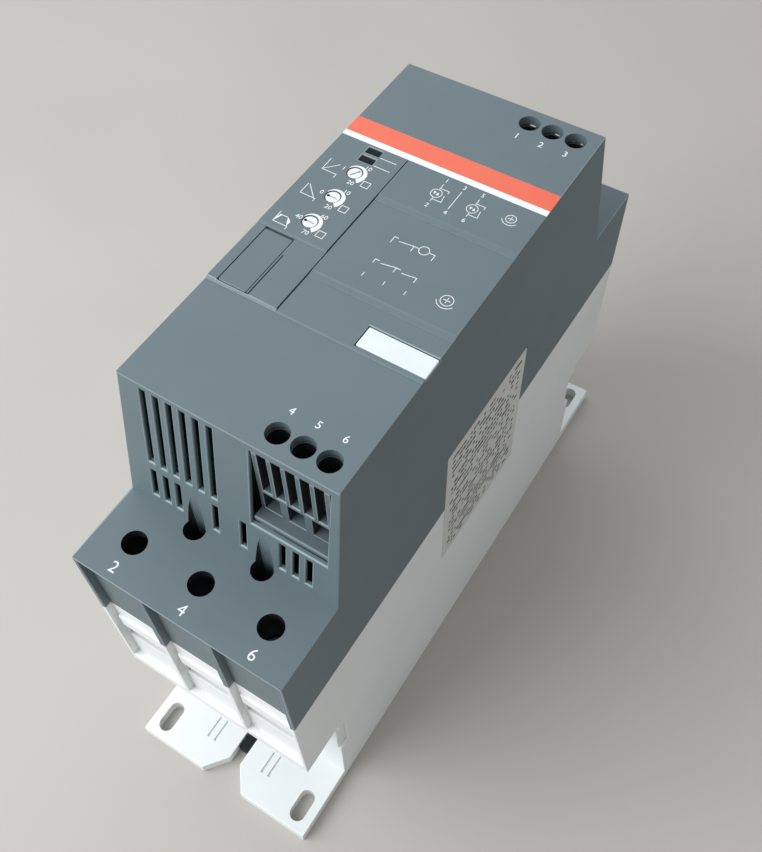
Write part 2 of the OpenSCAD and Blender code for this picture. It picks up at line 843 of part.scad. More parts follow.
// Power clamp screw at the load end with a hexagon socket
module power_screw_shape(p) {
    color(metal_colour) translate([p * phase_pitch, -clamp_y, 0]) difference() {
        union() {
            rod(0, 0, screw_d, [screw_tip, head_z + eps]);
            rod(0, 0, screw_head_d, [head_z, head_z + screw_head_h]);
        }
        translate([0, 0, head_z + screw_head_h - screw_key_h])
            cylinder(d = screw_key / cos(30), h = screw_head_h, $fn = 6);
    }
}

// Power clamp at the load end: a frame that the screw lifts against the busbar
module power_clamp_shape(p) {
    out_w = clamp_in_w + 2 * clamp_t;
    out_z = [window_z - clamp_floor_t, window_z + clamp_in_h + clamp_nut_h];
    color(zinc_colour) translate([p * phase_pitch, -clamp_y, 0]) difference() {
        post_box(0, 0, out_w, clamp_l, out_z);
        post_box(0, 0, clamp_in_w, clamp_l + over, [window_z, window_z + clamp_in_h]);
        rod(0, 0, screw_d + 2 * thread_gap, [bar_top, out_z[1] + over]);
    }
}

// Control clamp screw at the load end with a slotted head
module control_screw_shape(p) {
    color(metal_colour) translate([control_x + p * control_pitch, -control_y, 0]) difference() {
        union() {
            rod(0, 0, small_screw_d, [contact_z + contact_t + fit, small_head_z + eps]);
            rod(0, 0, small_head_d, [small_head_z, small_head_z + small_head_h]);
        }
        post_box(0, 0, small_slot[0], small_head_d + over,
            [small_head_z + small_head_h - small_slot[1], far]);
    }
}

// Control clamp at the load end: a small frame that its screw lifts
module control_clamp_shape(p) {
    out_z = [wire_z - small_floor_t, wire_z + small_in_h + small_nut_h];
    color(zinc_colour) translate([control_x + p * control_pitch, -control_y, 0]) difference() {
        post_box(0, 0, small_in_w + 2 * small_wall, small_l, out_z);
        post_box(0, 0, small_in_w, small_l + over, [wire_z, wire_z + small_in_h]);
        rod(0, 0, small_screw_d + 2 * thread_gap, [contact_z, out_z[1] + over]);
    }
}

// Flat copper bar of one phase between two places along Y, with screw holes at some places
module copper_bar(p, y, holes) {
    color(copper_colour) difference() {
        block([p * phase_pitch - bar_w / 2, p * phase_pitch + bar_w / 2], y, [bar_z, bar_top]);
        for (h = holes) {
            rod(p * phase_pitch, h, bar_screw_d + 2 * fit, [bar_z - over, bar_top + over]);
        }
    }
}

module load_bar_1() { copper_bar(-1, [-bar_end, bar_tail - bar_fix[1]], [-bar_fix[1]]); }
module load_bar_3() { copper_bar(1, [-bar_end, bar_tail - bar_fix[1]], [-bar_fix[1]]); }
module line_bar_1() { copper_bar(-1, [bar_fix[1] - bar_tail, bar_end], [bar_fix[1]]); }
module line_bar_3() { copper_bar(1, [bar_fix[1] - bar_tail, bar_end], [bar_fix[1]]); }

// Short bars between the thyristor modules and the bypass relays
module link_bars() {
    half = bar_fix[0] + bar_tail;
    for (p = ends) {
        copper_bar(p, [-half, half], [-bar_fix[0], bar_fix[0]]);
    }
}

// Bar of the middle phase, straight through from line to load
module through_bar() { copper_bar(0, [-bar_end, bar_end], [0]); }

// Insulating stand under the middle of the through bar
module through_bar_stand() {
    color("#6b4a3a") difference() {
        post_box(0, 0, bar_w, stand_l, [sink_z, bar_z]);
        rod(0, 0, bar_screw_d + post_gap, [bar_z - bar_screw_l - over, bar_z + over]);
    }
}

// Power block with a narrower top and threaded holes, on the heat sink
module power_block(p, y, tint) {
    step_z = bar_z - power_step[2];
    color(tint) difference() {
        union() {
            post_box(p * phase_pitch, y, module_w, module_l, [sink_z, step_z]);
            post_box(p * phase_pitch, y, module_w - power_step[0], module_l - power_step[1],
                [step_z - eps, bar_z]);
        }
        for (f = bar_fix) {
            rod(p * phase_pitch, sign(y) * f, bar_screw_d + post_gap,
                [bar_z - bar_screw_l - over, bar_z + over]);
        }
    }
}

module thyristor_module_1() { power_block(-1, -power_y, "#2b2d30"); }
module thyristor_module_3() { power_block(1, -power_y, "#2b2d30"); }
module bypass_relay_1() { power_block(-1, power_y, "#d8d2c2"); }
module bypass_relay_3() { power_block(1, power_y, "#d8d2c2"); }

// One screw with a hexagon head through a bar
module bar_screw(x, y) {
    rod(x, y, bar_screw_d, [bar_z - bar_screw_l, bar_top + eps]);
    translate([x, y, bar_top]) cylinder(d = bar_head_d, h = bar_head_h, $fn = 6);
}

// Screws that hold the bars on the power blocks and on the stand
module bar_screws() {
    color(metal_colour) {
        for (p = ends, e = ends, f = bar_fix) {
            bar_screw(p * phase_pitch, e * f);
        }
        bar_screw(0, 0);
    }
}

// Screws from the back that hold the heat sink in the base
module sink_screws() {
    color(metal_colour) for (s = ends, e = ends) {
        rod(s * sink_leg_x, e * sink_fix_y, sink_screw_d, [sink_seat_z - eps, floor_t + sink_screw_l]);
        rod(s * sink_leg_x, e * sink_fix_y, sink_head_d, [post_gap, sink_seat_z]);
    }
}

// Screws that hold the cover on the posts of the base
module cover_screws() {
    color(metal_colour) for (s = ends, e = ends) {
        translate([s * cover_screw_x, e * cover_screw_y, 0]) difference() {
            union() {
                rod(0, 0, cover_screw_d, [post_z - cover_screw_l, cover_seat + eps]);
                rod(0, 0, cover_screw_head_d, [cover_seat, cover_seat + cover_screw_head_h]);
            }
            for (a = [0, 90]) {
                rotate(a) post_box(0, 0, cover_cross[0], cover_cross[1],
                    [cover_seat + cover_screw_head_h - cover_cross[2], far]);
            }
        }
    }
}

// Screws from below that hold the control board on the posts of the cover
module board_screws() {
    low = board_z - board_t;
    color(metal_colour) for (s = ends, e = ends) {
        rod(s * board_hole[0], e * board_hole[1], board_screw_d, [low - eps, board_z + board_screw_l]);
        rod(s * board_hole[0], e * board_hole[1], board_head_d, [low - board_head_h, low]);
    }
}

// Potentiometer bodies on the control board
module setting_pots() {
    color("#3a5f9a") for (k = phases) {
        y = knob_y + k * knob_pitch;
        difference() {
            post_box(knob_x, y, pot_w, pot_w, [board_z, board_z + pot_h]);
            rod(knob_x, y, knob_shaft_d + 2 * fit, [board_z + pot_h - pot_bore_h, far]);
        }
    }
}

// White setting knob with a screwdriver slot and a pointer dot
module knob_shape(k) {
    top = body_d - knob_drop;
    turn = k == 1 ? -knob_turn : 0;
    color("#f2f2ee") translate([knob_x, knob_y + k * knob_pitch, 0]) rotate(turn) difference() {
        union() {
            rod(0, 0, knob_shaft_d, [board_z + pot_h - pot_bore_h + fit, top - knob_head_h + eps]);
            rod(0, 0, knob_d, [top - knob_head_h, top]);
        }
        post_box(0, 0, 0.7 * knob_d, knob_slot[0], [top - knob_slot[1], far]);
        rod(-0.36 * knob_d, 0, knob_dot[0], [top - knob_dot[1], far]);
    }
}

// Indicator lamps on the control board
module indicator_lamps() {
    color("#d8e8d0") for (k = [0, 1]) {
        post_box(knob_x, led_y + k * led_pitch, led_w - 2 * lamp_inset, led_l, [board_z, board_z + lamp_h]);
    }
}

// Dark light pipes between the lamps and the windows of the front face
module light_pipes() {
    color(black_colour) for (k = [0, 1]) {
        post_box(knob_x, led_y + k * led_pitch, led_w, led_l, [board_z + lamp_h, body_d - knob_drop]);
    }
}

// Plug socket under the lid, on the control board
module plug_socket() {
    color(black_colour) difference() {
        post_box(lid_x, socket_y, socket_w, socket_l, [board_z, socket_z]);
        for (k = [-2 : 2]) {
            rod(lid_x, socket_y + k * socket_pin[2], socket_pin[0], [socket_z - socket_pin[1], far]);
        }
    }
}

// Lid over the plug port, on two pins at its far edge
module port_lid() {
    top = lid_axis_z + lid_t / 2;
    color(cover_colour) {
        block([lid_x - lid_w / 2, lid_x + lid_w / 2], [lid_y - lid_l, lid_axis_y], [top - lid_t, top]);
        translate([lid_x, lid_axis_y, lid_axis_z]) rotate([0, 90, 0]) {
            cylinder(d = lid_t, h = lid_w, center = true);
            cylinder(d = lid_pin_d, h = lid_pin_l, center = true);
        }
    }
}

// Orange-red band across the front face
module colour_band() {
    w = front_x(body_d);
    color("#f07a5c") block([-w, w], [band_y, band_y + band_w], [body_d - film_t, body_d]);
}

// White line along the band
module white_line() {
    w = front_x(body_d);
    color(white_colour) block([-w, w], [band_y - white_w, band_y], [body_d - film_t, body_d]);
}

// White marker tag in its pocket at the right edge
module marker_tag() {
    right = front_x(body_d);
    top = body_d - 2 * step_h;
    color(white_colour) block([right - tag_w, right], [tag_y, tag_y + tag_l], [top - tag_t, top]);
}

// Silver rating label on the right side
module rating_label() {
    color("#c9cdcf") block([body_w / 2 - film_t, body_w / 2], [label_y - label_l / 2, label_y + label_l / 2],
        [label_z, label_z + label_h]);
}

base_housing();
load_housing();
line_housing();
front_cover();
heat_sink();
control_board();
control_block_load();
control_block_line();
control_contacts();
load_bar_1();
load_bar_3();
line_bar_1();
line_bar_3();
link_bars();
through_bar();
through_bar_stand();
thyristor_module_1();
thyristor_module_3();
bypass_relay_1();
bypass_relay_3();
bar_screws();
sink_screws();
cover_screws();
board_screws();
setting_pots();
indicator_lamps();
light_pipes();
plug_socket();
port_lid();
colour_band();
white_line();
marker_tag();
rating_label();
for (k = phases) {
    knob_shape(k);
}
for (e = ["load", "line"], p = phases) {
    at_end(e) power_screw_shape(p);
    at_end(e) power_clamp_shape(p);
    at_end(e) control_screw_shape(p);
    at_end(e) control_clamp_shape(p);
}
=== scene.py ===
import json
import math

import bmesh
import bpy
import numpy as np
from bpy.props import FloatProperty, FloatVectorProperty, IntProperty, PointerProperty
from mathutils import Matrix, Vector


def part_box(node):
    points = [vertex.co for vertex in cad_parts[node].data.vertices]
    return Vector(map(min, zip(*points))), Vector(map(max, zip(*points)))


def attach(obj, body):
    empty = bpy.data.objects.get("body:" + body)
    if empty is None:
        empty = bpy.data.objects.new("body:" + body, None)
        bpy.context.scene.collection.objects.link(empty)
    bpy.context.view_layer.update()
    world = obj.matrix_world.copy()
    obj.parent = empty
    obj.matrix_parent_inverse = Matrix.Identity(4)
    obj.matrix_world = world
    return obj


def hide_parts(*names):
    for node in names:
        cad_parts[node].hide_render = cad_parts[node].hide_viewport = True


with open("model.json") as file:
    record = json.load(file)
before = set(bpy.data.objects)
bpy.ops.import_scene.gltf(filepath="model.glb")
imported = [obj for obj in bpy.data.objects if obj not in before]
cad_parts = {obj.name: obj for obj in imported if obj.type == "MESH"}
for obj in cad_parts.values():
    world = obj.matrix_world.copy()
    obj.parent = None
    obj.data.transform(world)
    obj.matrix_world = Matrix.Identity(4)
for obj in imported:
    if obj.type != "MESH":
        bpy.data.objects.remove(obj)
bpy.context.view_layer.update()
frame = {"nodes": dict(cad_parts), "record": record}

bl_info = {
    "name": "Soft starter",
    "version": (1, 0, 0),
    "blender": (4, 5, 0),
    "location": "3D View > Sidebar > Soft starter",
    "description": "Dresses the packed soft starter with rounded mouldings, print and finishes",
    "category": "Object",
}

MM = 0.001

# Places on the part in mm: the knobs, the shelves and the key holes
KNOB_X = -21.0
KNOB_Y = (19.7, 8.4, -2.9)
SHELF_Z = 128.5
KEY_X = 23.0
KEY_Y = 90.5

# Drop in mm of the front face's two lower fields below its top
MID_DROP = 0.3
LOW_DROP = 0.9

# Pointer dot of a knob in mm: its distance from the axis, its radius and its depths under the top
DOT_OFF = 1.51
DOT_R = 0.48
DOT_DEPTH = (0.05, 2.0)

# Painted shade inside the cover, in mm, black where it lies in shade: half its width, its span along
# the part, its lower end, its distance under the shelf, and the radius of the sleeves under the key
# holes
INSIDE_X = 33.0
INSIDE_Y = (66.0, 97.0)
INSIDE_Z = 96.0
UNDER_SHELF = 2.1
SLEEVE_R = 6.5

# Control blocks in mm: the band under the top where the ribs end, the skin that stays grey,
# and the depths behind the ribs from which gaps and funnels are painted black as shade
RIB_BAND = 8.0
SKIN = 0.1
GAP_DEPTH = 0.2
FUNNEL_DEPTH = 3.2

# Parts of a unit normal along an axis: a face that looks along it has more than the first,
# a face that stands beside it has less than the second, and one of a gap less than the third
FACING = 0.9
BESIDE = 0.5
GAP_FACE = 0.3

# Meshes: the welding distance in m, the turns between faces that count as flat, as a crease, as an
# edge to round and as smooth, and the share of the volume that a rounding may change
WELD = 1e-6
FLAT_TURN = math.radians(0.3)
CREASE_TURN = math.radians(2)
EDGE_TURN = math.radians(25)
SMOOTH_TURN = math.radians(38)
VOLUME_CHANGE = 0.05
BEVEL_LAYER = "bevel_weight_edge"


# Settings

class SOFTSTARTER_PG_edges(bpy.types.PropertyGroup):
    """Rounding of the moulded edges"""
    outer: FloatProperty(name="Outer edges", description="Rounding of the long outer edges",
                         default=0.00045, unit="LENGTH", subtype="DISTANCE")
    least: FloatProperty(name="Least rounding", description="Edges that would get less stay sharp",
                         default=0.00004, unit="LENGTH", subtype="DISTANCE")
    shortest: FloatProperty(name="Shortest edge",
                            description="Shorter edges, such as those of a bore's rim, stay sharp",
                            default=0.0009, unit="LENGTH", subtype="DISTANCE")
    share: FloatProperty(name="Share of a face",
                         description="Largest share of a narrow face that a rounding takes",
                         default=0.35, min=0.01, max=0.45, subtype="FACTOR")


class SOFTSTARTER_PG_print(bpy.types.PropertyGroup):
    """White print on the front face and on the shelves"""
    ink: FloatProperty(name="Ink", description="Thickness of the ink",
                       default=0.00003, unit="LENGTH", subtype="DISTANCE")
    line: FloatProperty(name="Line", description="Width of the drawn lines",
                        default=0.0002, unit="LENGTH", subtype="DISTANCE")
    numeral: FloatProperty(name="Numerals", description="Height of the dial numerals",
                           default=0.0015, unit="LENGTH", subtype="DISTANCE")
    control: FloatProperty(name="Control numerals",
                           description="Height of the numerals at the control terminals",
                           default=0.0022, unit="LENGTH", subtype="DISTANCE")
    terminal: FloatProperty(name="Terminal numerals",
                            description="Height of the numerals on the shelves",
                            default=0.0034, unit="LENGTH", subtype="DISTANCE")


class SOFTSTARTER_PG_label(bpy.types.PropertyGroup):
    """Rows of plain dashes on the rating label, in place of print"""
    rows: IntProperty(name="Rows", description="Number of rows", default=22, min=2, max=40)
    dashes: IntProperty(name="Dashes", description="Most dashes in a row", default=21, min=2, max=60)
    filled: FloatProperty(name="Filled", description="Share of the places that carry a dash",
                          default=0.72, min=0.0, max=1.0, subtype="FACTOR")
    margin: FloatProperty(name="Margin",
                          description="Distance of the dashes from the edge of the label",
                          default=0.004, unit="LENGTH", subtype="DISTANCE")
    dash: FloatVectorProperty(name="Dash", description="Greatest length and height of a dash", size=2,
                              default=(0.0023, 0.0013), unit="LENGTH", subtype="XYZ")
    corner: FloatProperty(name="Corner", description="Radius of the corners of the label",
                          default=0.0012, unit="LENGTH", subtype="DISTANCE")


class SOFTSTARTER_PG_stage(bpy.types.PropertyGroup):
    """Floor, light and camera"""
    floor: FloatProperty(name="Floor", description="Side of the floor",
                         default=6.0, unit="LENGTH", subtype="DISTANCE")
    key: FloatProperty(name="Key light", description="Power of the soft light from the upper left",
                       default=16.5, unit="POWER")
    back: FloatProperty(name="Back light",
                        description="Power of the soft panel behind, which gives flat tops a sheen",
                        default=3.6, unit="POWER")
    key_size: FloatProperty(name="Light size", description="Side of each soft light",
                            default=1.0, unit="LENGTH", subtype="DISTANCE")
    key_place: FloatVectorProperty(name="Key place", description="Place of the soft light",
                                   default=(-0.55, -0.68, 0.76), unit="LENGTH", subtype="XYZ")
    back_place: FloatVectorProperty(name="Back place", description="Place of the soft panel behind",
                                    default=(-0.58, 0.52, 1.0), unit="LENGTH", subtype="XYZ")
    ambient: FloatProperty(name="Ambient", description="Strength of the even light all round",
                           default=0.63)
    lens: FloatProperty(name="Lens", description="Focal length of the camera in millimetres",
                        default=44.44)
    shift: FloatVectorProperty(name="Shift", description="Shift of the frame", size=2,
                               default=(0.0194, -0.0435))
    eye: FloatVectorProperty(name="Eye", description="Place of the camera",
                             default=(0.1088, -0.1654, 0.3835), unit="LENGTH", subtype="XYZ")
    forward: FloatVectorProperty(name="Forward", description="Viewing direction of the camera",
                                 default=(-0.3378, 0.4804, -0.8094), subtype="DIRECTION")
    up: FloatVectorProperty(name="Up", description="Upward direction of the camera",
                            default=(-0.4246, 0.6897, 0.5865), subtype="DIRECTION")


# Materials

# Sockets of the mix node's colours, by number because its other types use the same names
MIX_A, MIX_B, MIX_RESULT = 6, 7, 2

# A finish with a metallic value from METAL on keeps the default ior
METAL = 0.5
POLYCARBONATE_IOR = 1.58
GRAIN_DETAIL = 3.0
GRAIN_STRENGTH = 0.6


def linear(code):
    """Linear colour of a hex sRGB code."""
    parts = [int(code[i:i + 2], 16) / 255 for i in (1, 3, 5)]
    return tuple(c / 12.92 if c <= 0.04045 else ((c + 0.055) / 1.055) ** 2.4 for c in parts) + (1.0,)


def add(tree, kind, inputs=None, **settings):
    """Adds a node, sets its options, and fills its sockets with values or links."""
    made = tree.nodes.new(kind)
    for name, value in settings.items():
        setattr(made, name, value)
    for key, value in (inputs or {}).items():
        if isinstance(value, bpy.types.NodeSocket):
            tree.links.new(value, made.inputs[key])
        else:
            made.inputs[key].default_value = value
    return made


# Each finish: its real material, the two colours that it drifts between, the size in mm of that
# drift, the roughness range, the size and the height in mm of its grain, and what else its shader
# sets. Stretch draws the grain out along an axis, gloss is the strength of the reflection, and a
# plastic with no ior has polycarbonate's.
FINISHES = {
    # blue-grey moulding with a fine spark-eroded grain that keeps highlights broad
    "cover_plastic": dict(real="grained_polycarbonate", tones=("#546367", "#5b6b6e"), drift=22,
                          rough=(0.46, 0.6), grain=0.32, height=0.012),
    # painted highlight on the cover's rounded edges: a paler, smoother copy of the cover plastic that
    # stands in for the light they catch
    "cover_edge_highlight": dict(real="painted_highlight_polycarbonate", tones=("#728388", "#7b8c90"), drift=9,
                       rough=(0.3, 0.42), grain=0.4, height=0.004),
    # near-white moulding, smoother than the cover, with a faint cloudiness
    "base_plastic": dict(real="light_polycarbonate", tones=("#d6d9d7", "#e1e4e2"), drift=30,
                         rough=(0.38, 0.5), grain=0.5, height=0.008),
    # darker glass-filled plastic of the terminal blocks, with short light fibres
    "terminal_plastic": dict(real="glass_filled_polyamide", tones=("#4a575b", "#546166"), drift=1.2,
                             rough=(0.46, 0.6), grain=0.25, height=0.012,
                             stretch=(0.25, 1, 1), ior=1.53),
    # painted highlight on the terminal blocks' rounded edges: a paler copy of their plastic that
    # stands in for the light they catch
    "terminal_edge_highlight": dict(real="painted_highlight_polyamide", tones=("#6c7a7e", "#778589"), drift=2,
                          rough=(0.34, 0.46), grain=0.3, height=0.006, ior=1.53),
    # extruded aluminium, black anodised, drawn along the length
    "black_anodised": dict(real="anodised_aluminium", tones=("#191b1d", "#25282b"), drift=3,
                           rough=(0.3, 0.5), grain=0.2, height=0.006,
                           stretch=(1, 0.04, 1), metallic=0.6),
    # green solder mask with the copper pattern showing through as paler patches
    "circuit_board": dict(real="solder_mask", tones=("#0b2216", "#123222"), drift=2.4,
                          rough=(0.22, 0.36), grain=0.6, height=0.01,
                          pattern="ShaderNodeTexVoronoi"),
    # dull tin plating
    "plated_contact": dict(real="tinned_brass", tones=("#b4b2a8", "#c9c7be"), drift=0.8,
                           rough=(0.28, 0.42), grain=0.15, height=0.004, metallic=1.0),
    # bright rolled copper with tarnished patches
    "copper": dict(real="rolled_copper", tones=("#a5623c", "#c98a5c"), drift=6,
                   rough=(0.2, 0.38), grain=0.15, height=0.004,
                   stretch=(1, 0.05, 1), metallic=1.0),
    # brown phenolic paper in layers
    "laminate": dict(real="phenolic_paper", tones=("#5c3d2c", "#7a543c"), drift=0.8,
                     rough=(0.35, 0.5), grain=0.3, height=0.01, stretch=(0.1, 0.1, 1)),
    # black epoxy moulding of the power modules
    "module_plastic": dict(real="black_epoxy", tones=("#27292c", "#313438"), drift=8,
                           rough=(0.42, 0.56), grain=0.35, height=0.012),
    # cream relay case
    "relay_plastic": dict(real="cream_polyester", tones=("#d3ccba", "#ddd7c8"), drift=10,
                          rough=(0.3, 0.42), grain=0.4, height=0.006),
    # zinc-plated steel with turning marks and a bluish drift
    "zinc_steel": dict(real="zinc_plated_steel", tones=("#a9aeb2", "#c3c7c8"), drift=1.5,
                       rough=(0.25, 0.42), grain=0.12, height=0.005, metallic=1.0),
    # zinc passivated yellow, iridescent in patches
    "clamp_steel": dict(real="passivated_steel", tones=("#b3a27a", "#cdc3a6"), drift=2.5,
                        rough=(0.26, 0.44), grain=0.15, height=0.005, metallic=1.0),
    # blue potentiometer case
    "pot_plastic": dict(real="blue_polyester", tones=("#2f5590", "#3a63a0"), drift=4,
                        rough=(0.25, 0.36), grain=0.3, height=0.005),
    # pale cast resin
    "lamp_lens": dict(real="cast_resin", tones=("#cfe2c8", "#dcebd4"), drift=1,
                      rough=(0.1, 0.2), grain=0.4, height=0.003),
    # smoked light guide, almost black
    "dark_lens": dict(real="smoked_acrylic", tones=("#0c0e0f", "#141719"), drift=1.5,
                      rough=(0.3, 0.42), grain=0.5, height=0.003, gloss=0.1, ior=1.49),
    # black socket moulding and the knobs' pointer dots; also painted shade in the cover's chambers
    # and sleeves and in the blocks' gaps and funnels
    "black_plastic": dict(real="black_polyamide", tones=("#17191b", "#212427"), drift=4,
                          rough=(0.42, 0.56), grain=0.3, height=0.01, ior=1.53),
    # orange-red printed film with a slight sheen and fine print mottle
    "band_film": dict(real="red_print", tones=("#d85737", "#de6040"), drift=3,
                      rough=(0.3, 0.42), grain=0.2, height=0.004),
    # white ink and film, slightly uneven in cover
    "white_film": dict(real="white_ink", tones=("#d9dcdc", "#e4e6e6"), drift=1.5,
                       rough=(0.36, 0.5), grain=0.15, height=0.003),
    # smooth white marker plastic
    "tag_plastic": dict(real="white_polycarbonate", tones=("#ccd4d8", "#d6dde0"), drift=6,
                        rough=(0.28, 0.38), grain=0.4, height=0.004),
    # silver polyester label with a brushed look along its length
    "label_film": dict(real="silver_polyester_film", tones=("#c6c7c3", "#d5d6d2"), drift=2,
                       rough=(0.34, 0.48), grain=0.12, height=0.003,
                       stretch=(1, 0.05, 1), metallic=0.15),
    # dark grey thermal print on the label
    "label_ink": dict(real="thermal_ink", tones=("#2c2f31", "#3a3e40"), drift=0.8,
                      rough=(0.5, 0.6), grain=0.1, height=0.002),
    # white acetal of the knobs
    "knob_plastic": dict(real="white_acetal", tones=("#d2d5d3", "#dcdfdd"), drift=2,
                         rough=(0.34, 0.46), grain=0.3, height=0.006, ior=1.48),
    # matt pale table top with faint cloudy wear
    "table_top": dict(real="matt_table_top", tones=("#aaa59c", "#b3afa7"), drift=120,
                      rough=(0.6, 0.75), grain=0.8, height=0.01, ior=1.5),
}


def material(name):
    """The material of a finish, made on first use: drifting colour, uneven gloss and a fine grain."""
    look = FINISHES[name]
    if look["real"] in bpy.data.materials:
        return bpy.data.materials[look["real"]]
    made = bpy.data.materials.new(look["real"])
    made.use_nodes = True
    tree = made.node_tree
    shader = tree.nodes["Principled BSDF"]
    shader.inputs["Metallic"].default_value = look.get("metallic", 0.0)
    shader.inputs["Specular IOR Level"].default_value = look.get("gloss", 0.5)
    if look.get("metallic", 0.0) < METAL:
        shader.inputs["IOR"].default_value = look.get("ior", POLYCARBONATE_IOR)
    place = add(tree, "ShaderNodeTexCoord").outputs["Object"]
    drawn = add(tree, "ShaderNodeMapping", {"Vector": place, "Scale": look.get("stretch", (1, 1, 1))})
    drift = add(tree, look.get("pattern", "ShaderNodeTexNoise"),
                {"Vector": drawn.outputs["Vector"], "Scale": 1 / (look["drift"] * MM)})
    grain = add(tree, "ShaderNodeTexNoise",
                {"Vector": drawn.outputs["Vector"], "Scale": 1 / (look["grain"] * MM),
                 "Detail": GRAIN_DETAIL})
    mix = add(tree, "ShaderNodeMix",
              {"Factor": drift.outputs[0], MIX_A: linear(look["tones"][0]),
               MIX_B: linear(look["tones"][1])}, data_type="RGBA")
    tree.links.new(mix.outputs[MIX_RESULT], shader.inputs["Base Color"])
    gloss = add(tree, "ShaderNodeMapRange",
                {"Value": grain.outputs[0], "To Min": look["rough"][0], "To Max": look["rough"][1]})
    tree.links.new(gloss.outputs[0], shader.inputs["Roughness"])
    bump = add(tree, "ShaderNodeBump",
               {"Height": grain.outputs[0], "Distance": look["height"] * MM,
                "Strength": GRAIN_STRENGTH})
    tree.links.new(bump.outputs["Normal"], shader.inputs["Normal"])
    return made


# Mesh helpers

def keep(bm, name, body, finish):
    """Turns a bmesh into a piece that rides on a body with one finish."""
    mesh = bpy.data.meshes.new(name)
    bm.to_mesh(mesh)
    bm.free()
    piece = bpy.data.objects.new(name, mesh)
    bpy.context.scene.collection.objects.link(piece)
    mesh.materials.append(material(finish))
    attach(piece, body)
    return piece


def extra(piece, finish):
    """Adds a further finish to a piece and gives the number that its faces use for it."""
    piece.data.materials.append(material(finish))
    return len(piece.data.materials) - 1


def bake(piece):
    """Replaces a piece's mesh with what its modifiers make of it."""
    view = bpy.context.evaluated_depsgraph_get()
    made = bpy.data.meshes.new_from_object(piece.evaluated_get(view), preserve_all_data_layers=True,
                                           depsgraph=view)
    piece.modifiers.clear()
    old, piece.data = piece.data, made
    made.name = piece.name
    bpy.data.meshes.remove(old)


def shade(mesh):
    """Sets each corner's normal to the mean, by area, of the faces round it that turn little."""
    bm = bmesh.new()
    bm.from_mesh(mesh)
    areas = {face: face.calc_area() for face in bm.faces}
    normals = []
    for face in bm.faces:
        for loop in face.loops:
            near = [f for f in loop.vert.link_faces
                    if f.normal.dot(face.normal) > math.cos(SMOOTH_TURN)]
            total = sum((f.normal * areas[f] for f in near), Vector())
            normals.append(total.normalized() if total.length > 0 else face.normal.copy())
    bm.free()
    mesh.polygons.foreach_set("use_smooth", [True] * len(mesh.polygons))
    mesh.normals_split_custom_set(normals)


def reach(point, starts, ends):
    """Distances between points and stretches of line, either of them many."""
    along = ends - starts
    share = np.clip(((point - starts) * along).sum(-1) / (along * along).sum(-1), 0, 1)
    return np.linalg.norm(point - starts - share[..., None] * along, axis=-1)


def room(edge, creases):
    """Free width beside an edge on its two faces, up to the nearest other crease in their planes."""
    starts, ends, corners = creases
    first, last = (np.array(v.co) for v in edge.verts)
    own = [v.index for v in edge.verts]
    course = (last - first) / np.linalg.norm(last - first)
    free = math.inf
    for face in edge.link_faces:
        normal = np.array(face.normal)
        level = ((abs((starts - first) @ normal) < 2 * WELD)
                 & (abs((ends - first) @ normal) < 2 * WELD))
        touch = np.isin(corners, own).any(axis=1)
        a, b = starts[level & ~touch], ends[level & ~touch]
        if len(a):
            free = min(free, reach(a, first, last).min(), reach(b, first, last).min(),
                       reach(first, a, b).min(), reach(last, a, b).min())
        spans = (ends - starts)[level & touch]
        aside = np.linalg.norm(np.cross(spans, course), axis=1)
        aside = aside[aside > WELD]
        if len(aside):
            free = min(free, aside.min())
    return free


def weigh(bm, inner):
    """Welds a CAD mesh and weighs its convex edges by the rounding that they have room for."""
    edges = bpy.context.scene.softstarter_edges
    bmesh.ops.remove_doubles(bm, verts=bm.verts, dist=WELD)
    bmesh.ops.dissolve_limit(bm, angle_limit=FLAT_TURN, verts=bm.verts, edges=bm.edges)
    layer = bm.edges.layers.float.new(BEVEL_LAYER)
    bm.verts.index_update()
    bends = [e for e in bm.edges if len(e.link_faces) == 2 and e.calc_face_angle() > CREASE_TURN]
    creases = (np.array([e.verts[0].co for e in bends]), np.array([e.verts[1].co for e in bends]),
               np.array([[v.index for v in e.verts] for e in bends]))
    for edge in bends:
        if edge.calc_face_angle() < EDGE_TURN or not edge.is_convex:
            continue
        if edge.calc_length() < edges.shortest or (inner and inner(edge)):
            continue
        width = min(edges.outer, edges.share * room(edge, creases))
        if width >= edges.least:
            edge[layer] = width / edges.outer


def clamp(mesh, boxes):
    """Moves what stands out of the common box of some boxes back onto it."""
    for axis in range(3):
        low, high = min(b[0][axis] for b in boxes), max(b[1][axis] for b in boxes)
        for vertex in mesh.vertices:
            vertex.co[axis] = min(max(vertex.co[axis], low), high)


